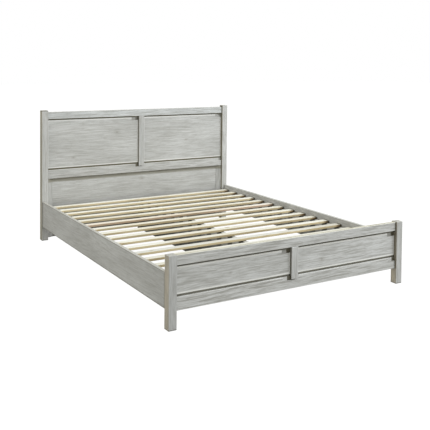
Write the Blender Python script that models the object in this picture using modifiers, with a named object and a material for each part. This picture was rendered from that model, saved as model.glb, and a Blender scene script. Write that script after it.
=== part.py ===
"""Queen-size slatted wooden bed frame, built as separate boards and fittings.

Metres, +Z up. X runs across the bed, the foot end faces -Y and the head end +Y.
The origin lies on the floor under the middle of the bed.
"""

import math

import bmesh
import bpy
from mathutils import Matrix

# Driving dimensions
WIDTH = 1.620
LENGTH = 2.150
HEAD_HEIGHT = 0.979
FOOT_HEIGHT = 0.386
POST = 0.048

GAP = 0.0003          # air left between touching pieces
EDGE = 0.0015         # eased edge of the painted boards
RAIL_INSET = 0.012    # cross rails sit this far behind the post faces
PANEL_INSET = 0.010   # panels sit this far behind the rail faces
STILE_PROUD = 0.004   # centre stiles stand this far in front of the rails
TENON = 0.022         # length of a rail tenon
TENON_THICK = 0.010
TENON_SHOULDER = 0.008
TONGUE = 0.006        # how far panel tongues reach into a rail
TONGUE_THICK = 0.003
CHANNEL = 0.0105      # shadow channel above and below a panel
STILE = 0.046
HEAD_STILE_X = 0.007  # both centre stiles stand a little off the middle
FOOT_STILE_X = -0.012
STILE_LAP = 0.016     # centre stile laps this far over the rail below it

# Headboard, bottom edge and top edge of each cross rail
HEAD_RAIL = 0.020
HEAD_TOP = (0.914, 0.9665)
HEAD_MID = (0.462, 0.527)
LOWER_PANEL = 0.015
LOWER_PANEL_Z = (0.016, 0.507)
BLOCK_WIDTH = 0.042
BLOCK_DEPTH = 0.018

# Footboard
FOOT_RAIL = 0.024
FOOT_TOP = (0.3295, 0.3825)
FOOT_BOTTOM = (0.095, 0.165)

# Small pockets at the right-hand end of every shadow channel
POCKET = 0.026
POCKET_HEIGHT = 0.022
POCKET_DEPTH = 0.008
REBATE = 0.033
REBATE_DEPTH = 0.0035

# Side rails, ledges and slats
SIDE_RAIL = 0.020
SIDE_INSET = 0.005
SIDE_Z = (0.101, 0.2925)
LEDGE = 0.020
SLAT_COUNT = 15
SLAT_PITCH = 0.1342
SLAT_WIDTH = 0.046
SLAT_THICK = 0.015
SLAT_TOP = 0.257
SLAT_LENGTH = 1.566
FIRST_SLAT = 0.981    # middle of the slat next to the headboard

# Centre support
CENTER = 0.027        # thickness of the centre beam and of the board under it
CENTER_BOARD_START = 0.300   # the board stops this far short of the foot end

# Steel fittings
STEEL = 0.0025
BRACKET_LEG = 0.046
BRACKET_HEIGHT = 0.084
BRACKET_Z = 0.152
BOLT_RADIUS = 0.003
BOLT_HEAD_RADIUS = 0.006
BOLT_HEAD = 0.0028
POST_BOLT = 0.030
RAIL_BOLT = 0.016

# Planes worked out from the sizes above
HALF_W = WIDTH / 2
HALF_L = LENGTH / 2
POST_IN = HALF_W - POST
FOOT_FACE = -HALF_L
HEAD_FACE = HALF_L - POST
FOOT_RAIL_Y = (FOOT_FACE + RAIL_INSET, FOOT_FACE + RAIL_INSET + FOOT_RAIL)
HEAD_RAIL_Y = (HEAD_FACE + RAIL_INSET, HEAD_FACE + RAIL_INSET + HEAD_RAIL)
LOWER_PANEL_Y = HEAD_RAIL_Y[1] + GAP
SLAT_BOTTOM = SLAT_TOP - SLAT_THICK
LEDGE_TOP = SLAT_BOTTOM - GAP
SIDE_OUT = HALF_W - SIDE_INSET
SIDE_IN = SIDE_OUT - SIDE_RAIL
RAIL_Y = (FOOT_FACE + POST + GAP, HEAD_FACE - GAP)
SIDES = (("left", -1), ("right", 1))


def clear_scene():
    for obj in list(bpy.data.objects):
        bpy.data.objects.remove(obj, do_unlink=True)


def collection(name):
    group = bpy.data.collections.new(name)
    bpy.context.scene.collection.children.link(group)
    return group


def material(name, color, roughness, metallic=0.0):
    mat = bpy.data.materials.new(name)
    mat.use_nodes = True
    shader = mat.node_tree.nodes["Principled BSDF"]
    shader.inputs["Base Color"].default_value = (*color, 1.0)
    shader.inputs["Roughness"].default_value = roughness
    shader.inputs["Metallic"].default_value = metallic
    mat.diffuse_color = (*color, 1.0)
    return mat


def add_object(name, mesh, group, center=(0, 0, 0)):
    obj = bpy.data.objects.new(name, mesh)
    obj.location = center
    group.objects.link(obj)
    return obj


def box_mesh(name, size):
    mesh = bpy.data.meshes.new(name)
    shape = bmesh.new()
    bmesh.ops.create_cube(shape, size=1.0, matrix=Matrix.Diagonal((*size, 1.0)))
    shape.to_mesh(mesh)
    shape.free()
    return mesh


def box(name, spans, group):
    """A box between the given (low, high) pair on each axis."""
    size = [high - low for low, high in spans]
    center = [(high + low) / 2 for low, high in spans]
    return add_object(name, box_mesh(name, size), group, center)


def board(name, spans, mat, edge=EDGE, segments=1):
    obj = box(name, spans, PARTS)
    obj.data.materials.append(mat)
    if edge:
        ease = obj.modifiers.new("eased_edges", "BEVEL")
        ease.width = edge
        ease.segments = segments
        ease.limit_method = "ANGLE"
    return obj


def as_cutter(obj):
    obj.hide_render = True
    obj.display_type = "WIRE"
    return obj


def cutter_box(name, spans):
    return as_cutter(box(name, spans, CUTTERS))


def cutter_rod(name, center, radius, length, axis):
    mesh = bpy.data.meshes.new(name)
    shape = bmesh.new()
    turn = Matrix.Rotation(math.pi / 2, 4, "Y" if axis == "X" else "X")
    bmesh.ops.create_cone(shape, cap_ends=True, segments=16, radius1=radius,
                          radius2=radius, depth=length, matrix=turn)
    shape.to_mesh(mesh)
    shape.free()
    return as_cutter(add_object(name, mesh, CUTTERS, center))


def boolean(obj, tool, operation):
    step = obj.modifiers.new(f"{operation.lower()}_{tool.name}", "BOOLEAN")
    step.operation = operation
    step.solver = "EXACT"
    step.object = tool


def cut(obj, tool):
    boolean(obj, tool, "DIFFERENCE")


def join(obj, tool):
    boolean(obj, tool, "UNION")


def grown(span, amount):
    return (span[0] - amount, span[1] + amount)


def middle(span):
    return (span[0] + span[1]) / 2


def tenon_spans(y_span, z_span, reach, side=None):
    """The thin core of a cross rail, which stands out of both ends as a tenon."""
    y = (middle(y_span) - TENON_THICK / 2, middle(y_span) + TENON_THICK / 2)
    z = grown(z_span, -TENON_SHOULDER)
    x = (-POST_IN - reach, POST_IN + reach)
    if side:
        x = tuple(sorted((side * (POST_IN - GAP), side * (POST_IN + reach))))
    return x, y, z


def cross_rail(name, y_span, z_span, mat):
    rail = board(name, ((-POST_IN + GAP, POST_IN - GAP), y_span, z_span), mat)
    join(rail, cutter_box(f"{name}_tenons", tenon_spans(y_span, z_span, TENON)))
    return rail


def mortise(post, label, side, y_span, z_span):
    x, y, z = tenon_spans(y_span, z_span, TENON + GAP, side)
    cut(post, cutter_box(label, (x, grown(y, GAP), grown(z, GAP))))


def tongue_y(panel_back):
    return (panel_back - TONGUE_THICK, panel_back)


def groove(rail, label, y_span, z_edge, direction):
    """The groove in a rail's edge that takes the tongues of the panels and the stile."""
    z = sorted((z_edge - direction * 0.001, z_edge + direction * (TONGUE + GAP)))
    x = (-POST_IN - GAP, POST_IN + GAP)
    cut(rail, cutter_box(label, (x, grown(y_span, GAP), z)))


def pocket(obj, label, x_right, face, z_top):
    """A square pocket and a shallow rebate beside it, at the end of a channel."""
    x_pocket = x_right - POCKET
    deep = ((x_pocket, x_right + POCKET), (face - POCKET, face + POCKET_DEPTH))
    shallow = ((x_pocket - REBATE, x_pocket + 0.001), (face - POCKET, face + REBATE_DEPTH))
    z = (z_top - POCKET_HEIGHT, z_top + POCKET_HEIGHT)
    cut(obj, cutter_box(f"{label}_pocket", (*deep, z)))
    cut(obj, cutter_box(f"{label}_rebate", (*shallow, z)))


def framed_panel(name, side, stile_x, z_low, z_high, face, back, mat):
    """A panel between two rails, with a channel above and below its raised field."""
    inner = stile_x + side * (STILE / 2 + GAP)
    x = tuple(sorted((inner, side * (POST_IN - GAP))))
    field = (z_low + CHANNEL, z_high - CHANNEL)
    panel = board(name, (x, (face, back), field), mat)
    tongue = grown((z_low, z_high), TONGUE)
    join(panel, cutter_box(f"{name}_tongue", (x, tongue_y(back), tongue)))
    pocket(panel, name, x[1], face, field[1])
    return panel


def center_stile(name, stile_x, face, back, z_low, z_high, mat):
    """The stile between two panels, lapped over the face of the rail below."""
    x = (stile_x - STILE / 2, stile_x + STILE / 2)
    stile = board(name, (x, (face, back), (z_low + GAP, z_high - GAP)), mat)
    lap_face = (face, face + STILE_PROUD - GAP)
    lap = (z_low - STILE_LAP, z_low + STILE_LAP)
    join(stile, cutter_box(f"{name}_lap", (x, lap_face, lap)))
    tongue = grown((z_low, z_high), TONGUE)
    join(stile, cutter_box(f"{name}_tongue", (x, tongue_y(back), tongue)))
    return stile


def post(name, side, y_face, height, rails, mat):
    x = tuple(sorted((side * POST_IN, side * HALF_W)))
    obj = board(name, (x, (y_face, y_face + POST), (0.0, height)), mat, edge=0.002)
    for number, (y_span, z_span) in enumerate(rails):
        mortise(obj, f"{name}_mortise_{number}", side, y_span, z_span)
    return obj


def headboard(mat):
    y = HEAD_RAIL_Y
    rails = ((y, HEAD_TOP), (y, HEAD_MID))
    for word, side in SIDES:
        post(f"head_post_{word}", side, HEAD_FACE, HEAD_HEIGHT, rails, mat)
    top = cross_rail("head_top_rail", y, HEAD_TOP, mat)
    mid = cross_rail("head_middle_rail", y, HEAD_MID, mat)
    groove(top, "head_top_groove", tongue_y(y[1]), HEAD_TOP[0], 1)
    groove(mid, "head_middle_groove", tongue_y(y[1]), HEAD_MID[1], -1)
    pocket(mid, "head_middle_left", HEAD_STILE_X - STILE / 2, y[0], HEAD_MID[1])
    pocket(mid, "head_middle_right", POST_IN, y[0], HEAD_MID[1])
    center_stile("head_center_stile", HEAD_STILE_X, y[0] - STILE_PROUD, y[1],
                 HEAD_MID[1], HEAD_TOP[0], mat)
    for word, side in SIDES:
        framed_panel(f"head_panel_{word}", side, HEAD_STILE_X, HEAD_MID[1], HEAD_TOP[0],
                     y[0] + PANEL_INSET, y[1], mat)
    lower_y = (LOWER_PANEL_Y, LOWER_PANEL_Y + LOWER_PANEL)
    lower_x = (-POST_IN + GAP, POST_IN - GAP)
    board("head_lower_panel", (lower_x, lower_y, LOWER_PANEL_Z), mat)
    for word, side in SIDES:
        corner_block(f"head_corner_block_{word}", side, mat)


def corner_block(name, side, mat):
    """A wedge-shaped glue block between the lower panel and a head post."""
    x_post = POST_IN - GAP
    x = tuple(sorted((side * (x_post - BLOCK_WIDTH), side * x_post)))
    y = (LOWER_PANEL_Y - GAP - BLOCK_DEPTH, LOWER_PANEL_Y - GAP)
    z = (LOWER_PANEL_Z[0], HEAD_MID[0] - GAP)
    block = board(name, (x, y, z), mat, edge=0)
    thin_edge = 0.002
    slope = math.atan2(BLOCK_DEPTH - thin_edge, BLOCK_WIDTH)
    reach = 0.2
    tool = as_cutter(add_object(f"{name}_slope", box_mesh(name, (reach, reach, 1.0)), CUTTERS))
    turn = side * slope
    tool.rotation_euler = (0, 0, -turn)
    edge_x = side * (x_post - BLOCK_WIDTH)
    edge_y = y[1] - thin_edge
    offset = reach / 2
    tool.location = (edge_x - offset * math.sin(turn), edge_y - offset * math.cos(turn), middle(z))
    cut(block, tool)


def footboard(mat):
    y = FOOT_RAIL_Y
    rails = ((y, FOOT_TOP), (y, FOOT_BOTTOM))
    for word, side in SIDES:
        post(f"foot_post_{word}", side, FOOT_FACE, FOOT_HEIGHT, rails, mat)
    top = cross_rail("foot_top_rail", y, FOOT_TOP, mat)
    bottom = cross_rail("foot_bottom_rail", y, FOOT_BOTTOM, mat)
    back = y[1] - 0.002
    groove(top, "foot_top_groove", tongue_y(back), FOOT_TOP[0], 1)
    groove(bottom, "foot_bottom_groove", tongue_y(back), FOOT_BOTTOM[1], -1)
    pocket(bottom, "foot_bottom_left", FOOT_STILE_X - STILE / 2, y[0], FOOT_BOTTOM[1])
    pocket(bottom, "foot_bottom_right", POST_IN, y[0], FOOT_BOTTOM[1])
    center_stile("foot_center_stile", FOOT_STILE_X, y[0] - STILE_PROUD, back,
                 FOOT_BOTTOM[1], FOOT_TOP[0], mat)
    for word, side in SIDES:
        framed_panel(f"foot_panel_{word}", side, FOOT_STILE_X, FOOT_BOTTOM[1], FOOT_TOP[0],
                     y[0] + PANEL_INSET, back, mat)


def side_rails(mat):
    ledge_y = grown(RAIL_Y, -BRACKET_LEG - 0.004)
    for word, side in SIDES:
        x = tuple(sorted((side * SIDE_IN, side * SIDE_OUT)))
        board(f"side_rail_{word}", (x, RAIL_Y, SIDE_Z), mat)
        x_ledge = sorted((side * (SIDE_IN - GAP), side * (SIDE_IN - GAP - LEDGE)))
        board(f"slat_ledge_{word}", (x_ledge, ledge_y, (SIDE_Z[0], LEDGE_TOP)), mat)


def slats(pine):
    half = SLAT_LENGTH / 2
    for number in range(SLAT_COUNT):
        y = FIRST_SLAT - number * SLAT_PITCH
        spans = ((-half, half), (y - SLAT_WIDTH / 2, y + SLAT_WIDTH / 2), (SLAT_BOTTOM, SLAT_TOP))
        board(f"slat_{number + 1:02d}", spans, pine, edge=0.002, segments=2)


def center_support(mat):
    """A beam under the slats, carried for most of its length by a board on the floor."""
    x = (-CENTER / 2, CENTER / 2)
    y = (FOOT_RAIL_Y[1] + GAP, LOWER_PANEL_Y - GAP)
    board("center_support_beam", (x, y, (SIDE_Z[0], LEDGE_TOP)), mat)
    y = (FOOT_FACE + CENTER_BOARD_START, LOWER_PANEL_Y - GAP)
    board("center_support_board", (x, y, (0.0, SIDE_Z[0] - GAP)), mat)


def bolt(name, head_point, axis, sign, length, mat):
    """A pan-head bolt whose head sits at head_point and whose shank runs along the axis."""
    profile = ((0.0, BOLT_HEAD), (BOLT_HEAD_RADIUS * 0.7, BOLT_HEAD),
               (BOLT_HEAD_RADIUS, BOLT_HEAD * 0.55), (BOLT_HEAD_RADIUS, 0.0),
               (BOLT_RADIUS, 0.0), (BOLT_RADIUS, -length), (0.0, -length))
    mesh = bpy.data.meshes.new(name)
    points = [(radius, 0.0, height) for radius, height in profile]
    mesh.from_pydata(points, [(i, i + 1) for i in range(len(points) - 1)], [])
    mesh.materials.append(mat)
    obj = add_object(name, mesh, PARTS, head_point)
    lathe = obj.modifiers.new("turned", "SCREW")
    lathe.axis = "Z"
    lathe.steps = 16
    lathe.render_steps = 16
    lathe.use_merge_vertices = True
    lathe.merge_threshold = 0.00005
    if axis == "X":
        obj.rotation_euler = (0, -sign * math.pi / 2, 0)
    else:
        obj.rotation_euler = (sign * math.pi / 2, 0, 0)
    return obj


def plate_pair(name, first, second, mat):
    """Two steel plates joined along a bend."""
    plate = board(name, first, mat, edge=0)
    join(plate, cutter_box(f"{name}_leg", second))
    return plate


def corner_fitting(word, side, end, y_face, steel):
    """An angle bracket in the corner of a post and a side rail, with its two bolts."""
    name = f"corner_bracket_{end}_{word}"
    toward_post = -1 if end == "foot" else 1
    z = (BRACKET_Z - BRACKET_HEIGHT / 2, BRACKET_Z + BRACKET_HEIGHT / 2)
    x_rail = side * (SIDE_IN - GAP)
    y_post = y_face - toward_post * GAP
    on_rail = (sorted((x_rail, x_rail - side * STEEL)),
               sorted((y_post, y_post - toward_post * BRACKET_LEG)), z)
    on_post = (sorted((x_rail, side * (POST_IN + 0.001))),
               sorted((y_post, y_post - toward_post * STEEL)), z)
    bracket = plate_pair(name, on_rail, on_post, steel)

    clearance = BOLT_RADIUS + GAP
    rail = bpy.data.objects[f"side_rail_{word}"]
    leg = bpy.data.objects[f"{end}_post_{word}"]
    at_rail = (x_rail, y_post - toward_post * BRACKET_LEG * 0.62, BRACKET_Z)
    at_post = (side * (POST_IN + 0.0105), y_post, BRACKET_Z + 0.024)

    hole = cutter_rod(f"{name}_rail_hole", at_rail, clearance, 2 * RAIL_BOLT + 0.001, "X")
    cut(bracket, hole)
    cut(rail, hole)
    hole = cutter_rod(f"{name}_post_hole", at_post, clearance, 2 * POST_BOLT + 0.001, "Y")
    cut(bracket, hole)
    cut(leg, hole)

    lift = STEEL + GAP
    head = (at_rail[0] - side * lift, at_rail[1], at_rail[2])
    bolt(f"rail_bolt_{end}_{word}", head, "X", side, RAIL_BOLT, steel)
    head = (at_post[0], at_post[1] - toward_post * lift, at_post[2])
    bolt(f"post_bolt_{end}_{word}", head, "Y", toward_post, POST_BOLT, steel)


def center_bracket(end, y_face, toward_end, steel):
    """An angle bracket that ties the centre beam to the headboard or footboard."""
    name = f"center_bracket_{end}"
    leg, height = 0.030, 0.050
    z = (0.108, 0.108 + height)
    x_board = CENTER / 2 + GAP
    y_end = y_face - toward_end * GAP
    on_board = ((x_board, x_board + STEEL), sorted((y_end, y_end - toward_end * leg)), z)
    on_end = ((x_board, x_board + leg), sorted((y_end, y_end - toward_end * STEEL)), z)
    plate_pair(name, on_board, on_end, steel)


clear_scene()
PARTS = collection("wooden_bed_frame")
CUTTERS = collection("cutters")

oak = material("grey_washed_oak", (0.50, 0.50, 0.46), 0.55)
pine_wood = material("natural_pine", (0.80, 0.72, 0.52), 0.60)
zinc = material("zinc_steel", (0.62, 0.62, 0.60), 0.35, 1.0)

headboard(oak)
footboard(oak)
side_rails(oak)
center_support(oak)
slats(pine_wood)
for side_word, side_sign in SIDES:
    corner_fitting(side_word, side_sign, "foot", FOOT_FACE + POST, zinc)
    corner_fitting(side_word, side_sign, "head", HEAD_FACE, zinc)
center_bracket("foot", FOOT_RAIL_Y[1], -1, zinc)
center_bracket("head", LOWER_PANEL_Y, 1, zinc)
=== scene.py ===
import math

import bpy
from mathutils import Matrix, Vector


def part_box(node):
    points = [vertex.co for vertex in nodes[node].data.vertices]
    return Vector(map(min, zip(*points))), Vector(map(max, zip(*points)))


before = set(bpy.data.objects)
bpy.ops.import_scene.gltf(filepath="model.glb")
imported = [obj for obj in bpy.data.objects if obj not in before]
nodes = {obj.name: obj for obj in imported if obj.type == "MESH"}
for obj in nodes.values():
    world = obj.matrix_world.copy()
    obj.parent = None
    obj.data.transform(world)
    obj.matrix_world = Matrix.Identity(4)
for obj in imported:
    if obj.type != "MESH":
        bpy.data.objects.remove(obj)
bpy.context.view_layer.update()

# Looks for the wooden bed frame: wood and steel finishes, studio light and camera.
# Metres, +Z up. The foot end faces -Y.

LEFT = (-1.0, 0.0, 0.0)
RIGHT = (1.0, 0.0, 0.0)
FRONT = (0.0, -1.0, 0.0)
UP = (0.0, 0.0, 1.0)

# Colours, linear RGB. A tint multiplies the colour under it.
WASH_PALE = (0.630, 0.640, 0.638)
WASH_MID = (0.540, 0.548, 0.542)
WASH_DARK = (0.290, 0.285, 0.262)
WASH_RUBBED = (0.640, 0.645, 0.630)
# Very pale for worn edges, and for painted light on the panels' edges and raised fields
PALE_WEAR_AND_HIGHLIGHT = (0.860, 0.865, 0.840)
KNOT = (0.180, 0.160, 0.125)
# Dark brown for dark lines along some edges, and for painted shade in corners, recesses, pockets, on
# shaded sides and along the posts' feet.
GLAZE_AND_SHADE = (0.085, 0.074, 0.042)
# Olive brown for painted shade in the panels' channels, under the middle rail and in the headboard
# panels' lower channel.
CHANNEL_SHADE = (0.118, 0.097, 0.022)
# Near black for the painted shadows of the slats on the boards under them.
SLAT_SHADOW = (0.030, 0.026, 0.016)
# Painted shade low down, under the slats and toward the floor
LOW_SHADE = (0.320, 0.316, 0.300)
# Painted light in a band just under the middle rail's shadow
LIGHT_UNDER_RAIL = (1.110, 1.110, 1.115)
# Tints for the posts' left cheeks, darker at the head: partly the wood's colour, partly painted shade
TINT_AND_SHADE_HEAD_POST = (0.640, 0.600, 0.500)
TINT_AND_SHADE_FOOT_POST = (1.000, 0.910, 0.770)
TINT_FOOT_TOP = (0.850, 0.820, 0.700)
TINT_HEAD_RAIL = (1.020, 1.045, 1.070)
PINE_PALE = (0.745, 0.755, 0.725)
PINE_MID = (0.680, 0.672, 0.605)
PINE_DARK = (0.560, 0.470, 0.310)
# Slat side colours: partly the wood's own colour, partly painted shade
PINE_SIDE = (0.735, 0.625, 0.395)
PINE_SIDE_DARK = (0.300, 0.225, 0.115)
PINE_PINK = (0.560, 0.390, 0.290)
# Painted shadow on the slats' sides at their right ends, by the rail
PINE_END_SHADE = (0.140, 0.075, 0.030)
# Painted light: the slat tops brighter toward the right
LIGHT_PINE_RIGHT = (1.050, 1.055, 1.060)
ZINC = (0.560, 0.560, 0.550)
ZINC_SPANGLE = (0.360, 0.360, 0.350)
ZINC_DULL = (0.300, 0.280, 0.250)

# Boards lighter or darker than the usual tone
TONE_USUAL = 1.00
TONE_HEADBOARD = 0.99
TONES = {
    "foot_post_left": 0.85,
    "foot_post_right": 0.98,
    "foot_bottom_rail": 1.12,
    "foot_panel_left": 1.06,
    "foot_panel_right": 1.04,
    "foot_top_rail": 1.05,
    "foot_center_stile": 1.01,
    "head_center_stile": 0.91,
    "head_middle_rail": 1.00,
    "head_lower_panel": 1.00,
    "head_corner_block_left": 1.00,
    # The right corner block's darker tone is painted shade from the right post beside it.
    "head_corner_block_right": 0.80,
    "head_top_rail": 1.06,
    "head_panel_right": 1.02,
    "head_post_right": 1.05,
    "side_rail_left": 0.95,
    "side_rail_right": 0.93,
}

# Boards whose grain shows more or less strongly than usual
GRAIN_USUAL = 0.40
GRAIN = {
    "foot_panel_left": 0.66,
    "foot_panel_right": 0.66,
    "foot_bottom_rail": 0.85,
    "foot_top_rail": 0.75,
    "head_top_rail": 0.65,
    "head_middle_rail": 0.65,
    "head_lower_panel": 0.34,
    "side_rail_left": 0.26,
    "side_rail_right": 0.26,
}

# Knots on a board: place across the bed, height above the floor, radius
KNOT_SQUEEZE = 0.6                    # lengths along the grain count this much
KNOTS = {
    "head_panel_left": ((-0.200, 0.790, 0.007), (-0.560, 0.610, 0.004)),
    "head_panel_right": ((0.420, 0.700, 0.004),),
    "head_lower_panel": ((0.023, 0.404, 0.006),),
    "foot_panel_right": ((0.192, 0.229, 0.006),),
    "foot_panel_left": ((-0.430, 0.240, 0.003),),
}

# Slat tops are palest next to the headboard and a little darker one by one
SLAT_TONE_AT_HEAD = 1.13
SLAT_TONE_STEP = 0.020
SLAT_TONE_CHANGES = {"slat_02": -0.050, "slat_05": -0.050, "slat_12": -0.140}

# Slats whose sides are pinker than the rest
SLAT_PINKNESS = {"slat_06": 0.75}

# How the arrises are rubbed, with painted light added on the panels' edges: reach in from the edge,
# strength, colour
PANEL_EDGE_WEAR_AND_LIGHT = (0.013, 0.80, PALE_WEAR_AND_HIGHLIGHT)
RUBBED_TOP_RAIL = (0.006, 0.55, PALE_WEAR_AND_HIGHLIGHT)
RUBBED_OTHER = (0.006, 0.45, WASH_RUBBED)

# How tightly the rings of the cathedral figure lie
OAK_RINGS = 110.0
PINE_RINGS = 70.0

# Painted shade in corners and recesses: reach and strength
CORNER_REACH = 0.018
CORNER_REACH_PANEL = 0.006
CORNER_SHADE_STRENGTH = 0.75
HEAD_CHANNEL_SHADE = 0.76
FOOT_CHANNEL_SHADE = 0.52
PANEL_POCKET_SHADE = 0.95
RAIL_POCKET_SHADE = 0.90
PALER_POCKET = 0.45                   # share left in the headboard's pockets by the right post

# Every span below is where a wash, painted shade or painted light fades in or out, in metres.
# Heights above the floor
POST_FOOT = (0.0035, 0.0065)
POST_BESIDE_RAILS = (0.090, 0.100)
RAIL_LOW_EDGE = (0.102, 0.112)
PANEL_LOW = (0.050, 0.430)
PANEL_NEAR_FLOOR = (0.020, 0.160)
PANEL_PALE_BAND = (0.360, 0.415)
PANEL_SHADOW_BAND = (0.426, 0.438)
SUPPORT_LOW = (0.000, 0.240)
BELOW_SLATS = (0.120, 0.250)

# In from a panel's upper and lower ends
CHANNEL_END = (0.0155, 0.0175)
FIELD_LINE_IN = (0.0155, 0.0170)
FIELD_LINE_OUT = (0.0220, 0.0300)
LOWER_CHANNEL = (0.0180, 0.0200)

# Back from a board's foot side, and forward from a panel's back
FIELD_FACE = (0.0010, 0.0020)
PANEL_RECESS = (0.0015, 0.0060)
PANEL_BACK = (0.0025, 0.0010)
POCKET_FLOOR = (0.0040, 0.0070)
POCKET_BACK = (0.0090, 0.0095)

# In from a side rail's ends, and down from a board's top
RAIL_END = (0.010, 0.020)
TOP_EDGE = (0.0075, 0.0045)

# Painted shadow under a slat: to its foot side, out from its middle, below and above the ledge's top
SLAT_SHADOW_SHIFT = 0.008
SLAT_SHADOW_SIDE = (0.020, 0.036)
SLAT_SHADOW_BELOW = (0.160, 0.000)
SLAT_SHADOW_ABOVE = (0.012, 0.020)

# Across the bed
INNER_FACE = (0.786, 0.790)           # inner faces of rails and ledges are nearer the middle
HEAD_POCKET_PALE = (0.600, 0.650)
SLAT_RIGHT_HALF = (0.100, 0.600)
SLAT_SHADED_END = (0.730, 0.765)

# Boards whose grain runs up, and boards whose grain runs along the bed
UPRIGHT = ("post", "stile", "block")
LENGTHWISE = ("side_rail", "ledge", "center_support")

# Camera: angles in degrees, lens and sensor in millimetres
CAMERA_PLACE = (-2.458, -4.323, 1.388)
CAMERA_TURN = 31.745                  # to the right of +Y
CAMERA_TILT = 2.11                    # down
CAMERA_ROLL = 0.59
CAMERA_LENS = 60.90
CAMERA_SENSOR = 36.0
CAMERA_SHIFT = (-0.0388, -0.303)

# Softboxes: name, place, target, size, power, colour
SOFTBOXES = (
    ("key", (2.6, -2.8, 4.1), (0.0, 0.2, 0.4), 2.0, 166.0, (0.97, 1.0, 1.04)),
    ("side", (-1.8, 0.6, 3.8), (0.0, 0.0, 0.2), 1.4, 50.0, (1.0, 0.97, 0.86)),
)

# Sky and floor
SKY_COLOR = (1.0, 0.99, 0.92, 1.0)
SKY_STRENGTH = 0.76
WHITE = (1.0, 1.0, 1.0, 1.0)
FLOOR_SIZE = 60.0
FLOOR_DROP = 0.0005                   # air between the floor and the feet
FLOOR_GLOW = 0.96
FLOOR_MATT = (0.10, 0.10, 0.10, 1.0)
FLOOR_BOUNCE = (0.35, 0.35, 0.35, 1.0)


class Shader:
    """A short way to build one material's nodes. The functions below call it s."""

    def __init__(self, name):
        self.material = bpy.data.materials.new(name)
        self.material.use_nodes = True
        self.tree = self.material.node_tree
        self.surface = self.tree.nodes["Principled BSDF"]
        self.coords = self.tree.nodes.new("ShaderNodeTexCoord").outputs["Object"]
        self.x, self.y, self.z = self.split(self.coords)

    def put(self, value, socket):
        if isinstance(value, bpy.types.NodeSocket):
            self.tree.links.new(value, socket)
        elif isinstance(value, tuple) and socket.type == "RGBA":
            socket.default_value = (*value, 1.0)
        else:
            socket.default_value = value

    def math(self, operation, first, second=0.0):
        node = self.tree.nodes.new("ShaderNodeMath")
        node.operation = operation
        self.put(first, node.inputs[0])
        self.put(second, node.inputs[1])
        return node.outputs[0]

    def times(self, first, second):
        return self.math("MULTIPLY", first, second)

    def minus(self, first, second):
        return self.math("SUBTRACT", first, second)

    def vector(self, operation, first, second=(0.0, 0.0, 0.0)):
        node = self.tree.nodes.new("ShaderNodeVectorMath")
        node.operation = operation
        self.put(first, node.inputs[0])
        self.put(second, node.inputs[1])
        return node.outputs["Value" if operation in ("LENGTH", "DOT_PRODUCT") else "Vector"]

    def split(self, vector):
        node = self.tree.nodes.new("ShaderNodeSeparateXYZ")
        self.put(vector, node.inputs[0])
        return list(node.outputs)

    def combine(self, x, y, z):
        node = self.tree.nodes.new("ShaderNodeCombineXYZ")
        for value, socket in zip((x, y, z), node.inputs):
            self.put(value, socket)
        return node.outputs[0]

    def noise(self, vector, detail=2.0, roughness=0.5, distortion=0.0):
        node = self.tree.nodes.new("ShaderNodeTexNoise")
        self.put(vector, node.inputs["Vector"])
        node.inputs["Scale"].default_value = 1.0
        node.inputs["Detail"].default_value = detail
        node.inputs["Roughness"].default_value = roughness
        node.inputs["Distortion"].default_value = distortion
        return node.outputs["Fac"]

    def cells(self, vector, scale=1.0):
        """Distance to the middle of the nearest of many scattered cells."""
        node = self.tree.nodes.new("ShaderNodeTexVoronoi")
        self.put(vector, node.inputs["Vector"])
        node.inputs["Scale"].default_value = scale
        return node.outputs["Distance"]

    def fade(self, value, span, start=0.0, end=1.0):
        """Go smoothly from start to end while the value crosses the span."""
        node = self.tree.nodes.new("ShaderNodeMapRange")
        node.interpolation_type = "SMOOTHSTEP"
        for number, item in enumerate((value, *span, start, end)):
            self.put(item, node.inputs[number])
        return node.outputs[0]

    def mix(self, amount, first, second, blend="MIX"):
        node = self.tree.nodes.new("ShaderNodeMix")
        node.data_type = "RGBA"
        node.blend_type = blend
        self.put(amount, node.inputs["Factor"])
        self.put(first, node.inputs["A"])
        self.put(second, node.inputs["B"])
        return node.outputs["Result"]

    def tint(self, color, tint, amount=1.0):
        return self.mix(amount, color, tint, "MULTIPLY")

    def bump(self, height, strength, distance):
        node = self.tree.nodes.new("ShaderNodeBump")
        node.inputs["Strength"].default_value = strength
        node.inputs["Distance"].default_value = distance
        self.put(height, node.inputs["Height"])
        return node.outputs["Normal"]

    def finish(self, color, roughness, normal):
        self.put(color, self.surface.inputs["Base Color"])
        self.put(roughness, self.surface.inputs["Roughness"])
        self.put(normal, self.surface.inputs["Normal"])
        return self.material


def grey(level):
    return (level, level, level)


def below(top, span):
    """The span that starts and ends at these distances below a top."""
    return (top - span[0], top - span[1])


def along_grain(s, axis, seed):
    """Object coordinates turned so that X follows the grain, moved to a fresh piece of wood."""
    turned = {"X": (s.x, s.y, s.z), "Y": (s.y, s.x, s.z), "Z": (s.z, s.y, s.x)}[axis]
    offset = (7.3 * seed + 0.7, 3.1 * seed + 0.4, 5.9 * seed + 0.2)
    return s.vector("ADD", s.combine(*turned), offset)


def stretched(s, grain, lengthwise, across):
    """Grain coordinates scaled, so that a noise repeats this many times a metre each way."""
    return s.vector("MULTIPLY", grain, (lengthwise, across, across))


def waved(s, grain, reach=0.020):
    """Grain that wanders sideways a little along the board."""
    drift = s.noise(stretched(s, grain, lengthwise=1.8, across=5.0), detail=1.5)
    shift = s.times(s.minus(drift, 0.5), reach)
    return s.vector("ADD", grain, s.combine(0.0, shift, shift))


def middle_of(node):
    low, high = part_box(node)
    return (low + high) / 2


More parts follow.
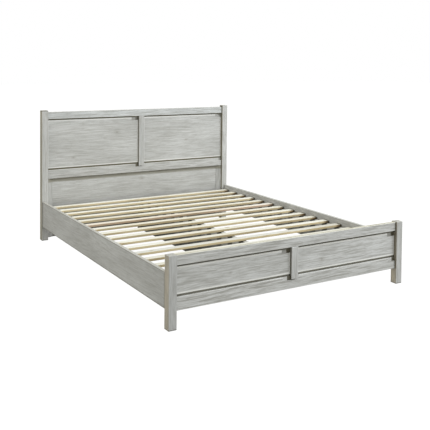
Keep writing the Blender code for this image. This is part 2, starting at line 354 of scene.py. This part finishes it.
def near_edge(s, node, width):
    """1 on the arrises of a board and 0 from about the given distance inwards."""
    center = middle_of(node)
    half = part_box(node)[1] - center
    offset = s.vector("ABSOLUTE", s.vector("SUBTRACT", s.coords, tuple(center)))
    dx, dy, dz = s.split(s.vector("SUBTRACT", tuple(half), offset))
    total = s.math("ADD", s.math("ADD", dx, dy), dz)
    largest = s.math("MAXIMUM", s.math("MAXIMUM", dx, dy), dz)
    return s.fade(s.minus(total, largest), (0.0, width), 1.0, 0.0)


def nearer_end(s, value, low, high):
    """Distance from the nearer of two ends."""
    return s.math("MINIMUM", s.minus(value, low), s.minus(high, value))


def from_ends(s, node):
    """Distance up or down to the nearer end of a board."""
    low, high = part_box(node)
    return nearer_end(s, s.z, low.z, high.z)


def depth_behind_face(s, node):
    """Distance back from the foot side of a board."""
    return s.minus(s.y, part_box(node)[0].y)


def corner_shade(s, reach):
    """Painted shade in grooves and inner corners: none in the open, most in a tight corner."""
    node = s.tree.nodes.new("ShaderNodeAmbientOcclusion")
    node.samples = 8
    node.inputs["Distance"].default_value = reach
    return s.fade(node.outputs["AO"], (0.25, 0.80), CORNER_SHADE_STRENGTH, 0.0)


def facing(s, direction, strength=1.0):
    """How squarely the surface faces a direction, from 0 to the given strength."""
    geometry = s.tree.nodes.new("ShaderNodeNewGeometry")
    dot = s.vector("DOT_PRODUCT", geometry.outputs["True Normal"], direction)
    return s.fade(dot, (0.5, 0.9), 0.0, strength)


def top_edge(s, node, strength):
    """Dark wash along the upper edge of a board."""
    return s.fade(s.z, below(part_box(node)[1].z, TOP_EDGE), 0.0, strength)


def knot_marks(s, places):
    """Soft dark eyes with a wider, fainter halo, drawn out along the grain."""
    marks = 0.0
    for across, up, radius in places:
        along = s.times(s.minus(s.x, across), KNOT_SQUEEZE)
        offset = s.combine(along, 0.0, s.minus(s.z, up))
        reach = s.vector("LENGTH", offset)
        eye = s.fade(reach, (radius * 0.3, radius * 1.3), 0.55, 0.0)
        halo = s.fade(reach, (radius, radius * 4.0), 0.22, 0.0)
        marks = s.math("MAXIMUM", marks, s.math("MAXIMUM", eye, halo))
    return marks


def pocket_shade(s, node, full):
    """How dark the painted shade in the pockets is. On the headboard the ones by the right post are
    paler.
    """
    if "foot" in node:
        return full
    return s.fade(s.x, HEAD_POCKET_PALE, full, PALER_POCKET * full)


def recess(s, node):
    """Painted shade in the channels (partly) and corner pockets (fully) behind a panel's face."""
    low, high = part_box(node)
    thickness = high.y - low.y
    depth = depth_behind_face(s, node)
    behind = s.times(s.fade(depth, PANEL_RECESS),
                     s.fade(depth, below(thickness, PANEL_BACK), 1.0, 0.0))
    channels = HEAD_CHANNEL_SHADE if "head" in node else FOOT_CHANNEL_SHADE
    pockets = pocket_shade(s, node, PANEL_POCKET_SHADE)
    return s.times(behind, s.fade(from_ends(s, node), CHANNEL_END, channels, pockets))


def field_ends(s, node):
    """The painted highlight line on a panel's raised field, just inside the shadow channels."""
    inside = from_ends(s, node)
    line = s.times(s.fade(inside, FIELD_LINE_IN), s.fade(inside, FIELD_LINE_OUT, 1.0, 0.0))
    return s.times(line, s.fade(depth_behind_face(s, node), FIELD_FACE, 0.72, 0.0))


def pocket_floors(s, node):
    """Painted shade on the floors of the small pockets cut into a rail's face."""
    depth = depth_behind_face(s, node)
    shade_color = pocket_shade(s, node, RAIL_POCKET_SHADE)
    floor = s.times(s.fade(depth, POCKET_FLOOR), s.fade(depth, POCKET_BACK, shade_color, 0.0))
    return s.times(floor, facing(s, FRONT))


def slat_shadows(s):
    """Painted shadow of each slat, fading down the face of the board under it."""
    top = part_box("slat_ledge_left")[1].z
    first = middle_of("slat_01").y
    pitch = first - middle_of("slat_02").y
    along = s.math("DIVIDE", s.minus(first - SLAT_SHADOW_SHIFT, s.y), pitch)
    nearest = s.math("ABSOLUTE", s.minus(along, s.math("ROUND", along)))
    beside = s.fade(s.times(nearest, pitch), SLAT_SHADOW_SIDE, 1.0, 0.0)
    down = s.times(s.fade(s.z, below(top, SLAT_SHADOW_BELOW), 0.15, 1.0),
                   s.fade(s.minus(s.z, top), SLAT_SHADOW_ABOVE, 1.0, 0.0))
    return s.times(beside, down)


def rail_outline(s, node):
    """Dark wash round the outer face of a side rail: along the top and beside the posts."""
    low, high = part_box(node)
    from_post = nearer_end(s, s.y, low.y, high.y)
    outline = s.math("MAXIMUM", s.fade(from_post, RAIL_END, 0.45, 0.0), top_edge(s, node, 0.38))
    return s.times(outline, facing(s, LEFT if "left" in node else RIGHT))


def wash_and_shade_post(s, node, color):
    """Left cheek tinted tan and darker, partly painted shade; dark top; painted shadow along the foot.
    The cheek of a right post has painted shade above its leg.
    """
    at_head = "head" in node
    left = facing(s, LEFT)
    color = s.tint(color, TINT_AND_SHADE_HEAD_POST if at_head else TINT_AND_SHADE_FOOT_POST, left)
    # Painted shadow along the foot of the post, where it meets the floor
    color = s.mix(s.fade(s.z, POST_FOOT, 0.55, 0.0), color, GLAZE_AND_SHADE)
    if "right" in node:
        # Painted shade on the right post's inner cheek above its leg
        shade_beside_rails = s.fade(s.z, POST_BESIDE_RAILS, 0.0, 0.62)
        color = s.mix(s.times(left, shade_beside_rails), color, GLAZE_AND_SHADE)
    color = s.mix(facing(s, UP, 0.7), color, WASH_DARK)
    if node == "head_post_left":
        color = s.mix(top_edge(s, node, 0.62), color, GLAZE_AND_SHADE)
    if at_head:
        color = s.mix(s.times(top_edge(s, node, 0.75), left), color, GLAZE_AND_SHADE)
    return color


def wash_top_rail(s, node, color):
    """Tan top on the footboard. Cooler face and dark upper edge on the headboard."""
    if "foot" in node:
        return s.tint(color, TINT_FOOT_TOP, facing(s, UP))
    color = s.tint(color, TINT_HEAD_RAIL)
    color = s.mix(facing(s, UP, 0.7), color, WASH_DARK)
    return s.mix(top_edge(s, node, 0.14), color, GLAZE_AND_SHADE)


def shade_panel_recesses(s, node, color):
    """Painted shade in the recesses: browner in the channels, blacker in the corner pockets."""
    shade_color = s.mix(s.fade(from_ends(s, node), CHANNEL_END), CHANNEL_SHADE, GLAZE_AND_SHADE)
    return s.mix(recess(s, node), color, shade_color)


def shade_pockets(s, node, color):
    # Painted shade on the pocket floors
    return s.mix(pocket_floors(s, node), color, GLAZE_AND_SHADE)


def shade_stile_side(s, node, color):
    # Painted shade on the stile's left side
    return s.mix(facing(s, LEFT, 0.7), color, GLAZE_AND_SHADE)


def light_and_shade_lower_panel(s, node, color):
    """On the front only: painted shade darker toward the floor, and a painted lighter band near the
    middle rail.
    """
    front = facing(s, FRONT)
    low_down = s.math("ADD", s.fade(s.z, PANEL_LOW, 0.58, 0.0),
                      s.fade(s.z, PANEL_NEAR_FLOOR, 0.54, 0.0))
    color = s.tint(color, LOW_SHADE, s.times(low_down, front))
    return s.tint(color, LIGHT_UNDER_RAIL, s.times(s.fade(s.z, PANEL_PALE_BAND), front))


def shade_under_rail(s, node, color):
    """Painted shadow of the middle rail, on the front only."""
    shadow = s.fade(s.z, PANEL_SHADOW_BAND, 0.0, 0.52)
    return s.mix(s.times(shadow, facing(s, FRONT)), color, CHANNEL_SHADE)


def shade_center_support(s, node, color):
    # Painted shade: darker toward the floor under the slats
    return s.tint(color, LOW_SHADE, s.fade(s.z, SUPPORT_LOW, 0.95, 0.0))


def wash_side_rail(s, node, color):
    """Dark lower edge and outline. The left rail's top is darker too."""
    if "left" in node:
        color = s.mix(facing(s, UP, 0.45), color, WASH_DARK)
    color = s.mix(s.fade(s.z, RAIL_LOW_EDGE, 0.66, 0.0), color, GLAZE_AND_SHADE)
    return s.mix(rail_outline(s, node), color, GLAZE_AND_SHADE)


def shade_below_slats(s, node, color):
    """Boards beside or under the slats: painted shade low down, and a painted shadow under each slat."""
    inward = 0.9
    if "center" not in node:
        inward = s.fade(s.math("ABSOLUTE", s.x), INNER_FACE, inward, 0.0)
    shaded = s.times(s.fade(s.z, BELOW_SLATS, 0.75, 0.10), inward)
    color = s.tint(color, LOW_SHADE, shaded)
    return s.mix(s.times(slat_shadows(s), inward), color, SLAT_SHADOW)


# Washes and painted shade laid on a board one after another, chosen by a word in its name.
# Each takes the shader, the board's name and its colour so far.
WASHES_AND_SHADE = (
    ("post", wash_and_shade_post),
    ("top_rail", wash_top_rail),
    ("panel_", shade_panel_recesses),
    ("foot_bottom_rail", shade_pockets),
    ("head_middle_rail", shade_pockets),
    ("stile", shade_stile_side),
    ("head_lower_panel", light_and_shade_lower_panel),
    ("head_lower_panel", shade_under_rail),
    ("corner_block", shade_under_rail),
    ("center_support", shade_center_support),
    ("side_rail", wash_side_rail),
    ("center_support", shade_below_slats),
    ("side_rail", shade_below_slats),
    ("ledge", shade_below_slats),
)


def worn_and_lit_edges(s, node, color, streaks):
    """Paler arrises, broken up by the grain: wear, and on the panels painted light too. Panels also have
    a painted highlight line at their raised fields' ends, and the headboard's panels a little painted
    shade over the channel at the bottom."""
    reach, strength, pale = RUBBED_OTHER
    if "panel_" in node:
        reach, strength, pale = PANEL_EDGE_WEAR_AND_LIGHT
    elif "top_rail" in node:
        reach, strength, pale = RUBBED_TOP_RAIL
    worn_and_lit = s.times(near_edge(s, node, reach), s.fade(streaks, (0.30, 0.55)))
    color = s.mix(s.times(worn_and_lit, strength), color, pale)
    if "panel_" in node:
        # Painted highlight line along the raised field's ends
        color = s.mix(field_ends(s, node), color, PALE_WEAR_AND_HIGHLIGHT)
    if "head_panel" in node:
        # Painted shade over the headboard panel's lower channel
        above_end = s.minus(s.z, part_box(node)[0].z)
        color = s.mix(s.fade(above_end, LOWER_CHANNEL, 0.25, 0.0), color, CHANNEL_SHADE)
    return color


def washed_oak(node, axis, seed):
    """Pale grey-washed oak: open pores, cathedral figure, cloudy wash, rubbed edges, painted light and
    shade.
    """
    s = Shader(f"washed_oak_{node}")
    straight = along_grain(s, axis, seed)
    grain = waved(s, straight)
    figure = s.noise(stretched(s, grain, lengthwise=0.9, across=7.0),
                     detail=1.5, roughness=0.4, distortion=0.3)
    rings = s.fade(s.math("SINE", s.times(figure, OAK_RINGS)), (-0.1, 1.0))
    streaks = s.noise(stretched(s, grain, lengthwise=6.5, across=135.0), detail=3.0, roughness=0.6)
    fibres = s.noise(stretched(s, grain, lengthwise=11.0, across=320.0), detail=2.0, roughness=0.6)
    pores = s.noise(stretched(s, grain, lengthwise=30.0, across=900.0), detail=1.0)
    pores = s.fade(pores, (0.60, 0.70))
    clouds = s.noise(stretched(s, straight, lengthwise=2.0, across=7.0), detail=3.0, roughness=0.55)

    color = s.mix(s.fade(clouds, (0.35, 0.65)), WASH_MID, WASH_PALE)
    grain_strength = GRAIN.get(node, GRAIN_USUAL)
    color = s.mix(s.fade(streaks, (0.42, 0.68), 0.0, grain_strength), color, WASH_DARK)
    color = s.mix(s.times(rings, 0.13), color, WASH_DARK)
    color = s.mix(s.fade(fibres, (0.48, 0.68), 0.0, 0.34), color, WASH_DARK)
    color = s.mix(s.times(pores, 0.35), color, KNOT)
    if node in KNOTS:
        color = s.mix(knot_marks(s, KNOTS[node]), color, KNOT)

    color = worn_and_lit_edges(s, node, color, streaks)
    usual_tone = TONE_HEADBOARD if "head" in node else TONE_USUAL
    color = s.tint(color, grey(TONES.get(node, usual_tone)))
    # Lay the washes and the painted shade from the table
    for word, wash in WASHES_AND_SHADE:
        if word in node:
            color = wash(s, node, color)
    # Painted shade in corners and grooves, from the ambient occlusion round each point
    reach = CORNER_REACH_PANEL if "panel_" in node else CORNER_REACH
    color = s.mix(corner_shade(s, reach), color, GLAZE_AND_SHADE)

    height = s.minus(s.times(fibres, 0.5), s.times(pores, 0.8))
    height = s.minus(height, s.times(rings, 0.25))
    normal = s.bump(height, strength=0.35, distance=0.0006)
    return s.finish(color, s.fade(streaks, (0.3, 0.8), 0.46, 0.68), normal)


def bare_pine(node, axis, seed):
    """Planed softwood: broad soft figure, fine lines, small knots,
    and sides tanner and darker than the tops, partly the wood's colour and partly painted shade.
    """
    s = Shader(f"bare_pine_{node}")
    grain = along_grain(s, axis, seed)
    figure = s.noise(stretched(s, grain, lengthwise=0.7, across=9.0), detail=1.5, roughness=0.4)
    rings = s.fade(s.math("SINE", s.times(figure, PINE_RINGS)), (-0.2, 1.0))
    fibres = s.noise(stretched(s, grain, lengthwise=8.0, across=300.0), detail=3.0, roughness=0.6)
    clouds = s.noise(stretched(s, grain, lengthwise=1.3, across=5.0), detail=2.0)
    knots = s.fade(s.cells(stretched(s, grain, lengthwise=2.6, across=6.0)), (0.045, 0.075), 0.8, 0.0)
    pink = SLAT_PINKNESS.get(node, 0.0)

    side = s.mix(pink, PINE_SIDE, PINE_PINK)
    side = s.mix(s.fade(clouds, (0.42, 0.62), 0.0, 0.50), side, PINE_SIDE_DARK)
    side = s.mix(s.times(rings, 0.20), side, PINE_SIDE_DARK)
    # Painted shadow on the sides at the slats' right ends, by the rail
    side = s.mix(s.fade(s.x, SLAT_SHADED_END, 0.0, 0.75), side, PINE_END_SHADE)

    upper = s.mix(s.fade(clouds, (0.35, 0.65)), PINE_PALE, PINE_MID)
    upper = s.mix(s.times(rings, 0.22), upper, PINE_DARK)
    upper = s.mix(s.fade(fibres, (0.48, 0.75), 0.0, 0.25), upper, PINE_DARK)
    upper = s.mix(pink * 0.25, upper, PINE_PINK)
    tone = SLAT_TONE_AT_HEAD - SLAT_TONE_STEP * int(node[-2:])
    upper = s.tint(upper, grey(tone + SLAT_TONE_CHANGES.get(node, 0.0)))
    # Painted light: the tops brighter toward the right end
    upper = s.tint(upper, LIGHT_PINE_RIGHT, s.fade(s.x, SLAT_RIGHT_HALF, 0.0, 0.60))

    # Tops paler, sides tanner and darker: partly the wood's own colour, partly painted shade on the sides
    color = s.mix(facing(s, UP), side, upper)
    color = s.mix(knots, color, PINE_SIDE_DARK)
    height = s.minus(s.times(fibres, 0.6), s.times(rings, 0.3))
    normal = s.bump(height, strength=0.30, distance=0.0005)
    return s.finish(color, s.fade(fibres, (0.3, 0.8), 0.50, 0.72), normal)


def zinc_plate(seed):
    """Zinc-plated steel: cloudy spangle, fine scratches and duller patches."""
    s = Shader(f"zinc_plate_{seed}")
    place = s.vector("ADD", s.coords, (0.3 * seed, 0.7 * seed, 0.1 * seed))
    spangle = s.cells(place, scale=260.0)
    dull = s.noise(s.vector("MULTIPLY", place, (90.0, 90.0, 90.0)), detail=4.0, roughness=0.6)
    scratches = s.noise(s.vector("MULTIPLY", place, (900.0, 900.0, 40.0)), detail=2.0)
    color = s.mix(s.times(spangle, 0.5), ZINC, ZINC_SPANGLE)
    color = s.mix(s.fade(dull, (0.45, 0.7), 0.0, 0.35), color, ZINC_DULL)
    s.surface.inputs["Metallic"].default_value = 1.0
    normal = s.bump(s.math("ADD", scratches, dull), strength=0.15, distance=0.0002)
    return s.finish(color, s.fade(dull, (0.3, 0.7), 0.28, 0.50), normal)


def grain_axis(name):
    if any(word in name for word in LENGTHWISE):
        return "Y"
    if any(word in name for word in UPRIGHT):
        return "Z"
    return "X"


def finish_nodes():
    for seed, (name, obj) in enumerate(sorted(nodes.items())):
        if "bracket" in name or "bolt" in name:
            material = zinc_plate(seed)
        elif name.startswith("slat_") and "ledge" not in name:
            material = bare_pine(name, grain_axis(name), seed)
        else:
            material = washed_oak(name, grain_axis(name), seed)
        for slot in obj.material_slots:
            slot.material = material


def studio_floor():
    """A floor that looks white to the camera but throws only a little light back up."""
    bpy.ops.mesh.primitive_plane_add(size=FLOOR_SIZE, location=(0.0, 0.0, -FLOOR_DROP))
    floor = bpy.context.object
    floor.name = "studio_floor"
    material = bpy.data.materials.new("studio_floor")
    material.use_nodes = True
    tree = material.node_tree
    tree.nodes.clear()
    output = tree.nodes.new("ShaderNodeOutputMaterial")
    glow = tree.nodes.new("ShaderNodeEmission")
    glow.inputs["Strength"].default_value = FLOOR_GLOW
    matt = tree.nodes.new("ShaderNodeBsdfDiffuse")
    matt.inputs["Color"].default_value = FLOOR_MATT
    seen = tree.nodes.new("ShaderNodeAddShader")
    bounce = tree.nodes.new("ShaderNodeBsdfDiffuse")
    bounce.inputs["Color"].default_value = FLOOR_BOUNCE
    path = tree.nodes.new("ShaderNodeLightPath")
    choose = tree.nodes.new("ShaderNodeMixShader")
    tree.links.new(glow.outputs[0], seen.inputs[0])
    tree.links.new(matt.outputs[0], seen.inputs[1])
    tree.links.new(path.outputs["Is Camera Ray"], choose.inputs[0])
    tree.links.new(bounce.outputs[0], choose.inputs[1])
    tree.links.new(seen.outputs[0], choose.inputs[2])
    tree.links.new(choose.outputs[0], output.inputs[0])
    floor.data.materials.append(material)


def studio_world():
    """White to the camera, and a soft warm sky for the light it gives."""
    world = bpy.data.worlds.new("studio")
    bpy.context.scene.world = world
    world.use_nodes = True
    tree = world.node_tree
    sky = tree.nodes["Background"]
    sky.inputs["Color"].default_value = SKY_COLOR
    sky.inputs["Strength"].default_value = SKY_STRENGTH
    white = tree.nodes.new("ShaderNodeBackground")
    white.inputs["Color"].default_value = WHITE
    white.inputs["Strength"].default_value = 1.0
    path = tree.nodes.new("ShaderNodeLightPath")
    choose = tree.nodes.new("ShaderNodeMixShader")
    tree.links.new(path.outputs["Is Camera Ray"], choose.inputs[0])
    tree.links.new(sky.outputs[0], choose.inputs[1])
    tree.links.new(white.outputs[0], choose.inputs[2])
    tree.links.new(choose.outputs[0], tree.nodes["World Output"].inputs[0])


def softbox(name, place, target, size, power, color):
    light = bpy.data.lights.new(name, "AREA")
    light.shape = "SQUARE"
    light.size = size
    light.energy = power
    light.color = color
    obj = bpy.data.objects.new(name, light)
    obj.location = place
    aim = Vector(target) - Vector(place)
    obj.rotation_euler = aim.to_track_quat("-Z", "Y").to_euler()
    bpy.context.scene.collection.objects.link(obj)


def camera():
    yaw, pitch, roll = (math.radians(angle) for angle in (CAMERA_TURN, CAMERA_TILT, CAMERA_ROLL))
    forward = Vector((math.sin(yaw) * math.cos(pitch), math.cos(yaw) * math.cos(pitch), -math.sin(pitch)))
    level = Vector((math.cos(yaw), -math.sin(yaw), 0.0))
    upright = level.cross(forward)
    right = math.cos(roll) * level + math.sin(roll) * upright
    up = math.cos(roll) * upright - math.sin(roll) * level
    data = bpy.data.cameras.new("camera")
    data.sensor_width = CAMERA_SENSOR
    data.lens = CAMERA_LENS
    data.shift_x, data.shift_y = CAMERA_SHIFT
    obj = bpy.data.objects.new("camera", data)
    turn = Matrix((right, up, -forward)).transposed().to_4x4()
    obj.matrix_world = Matrix.Translation(CAMERA_PLACE) @ turn
    bpy.context.scene.collection.objects.link(obj)
    bpy.context.scene.camera = obj


camera()
finish_nodes()
studio_floor()
studio_world()
for box in SOFTBOXES:
    softbox(*box)
bpy.context.scene.view_settings.view_transform = "Standard"
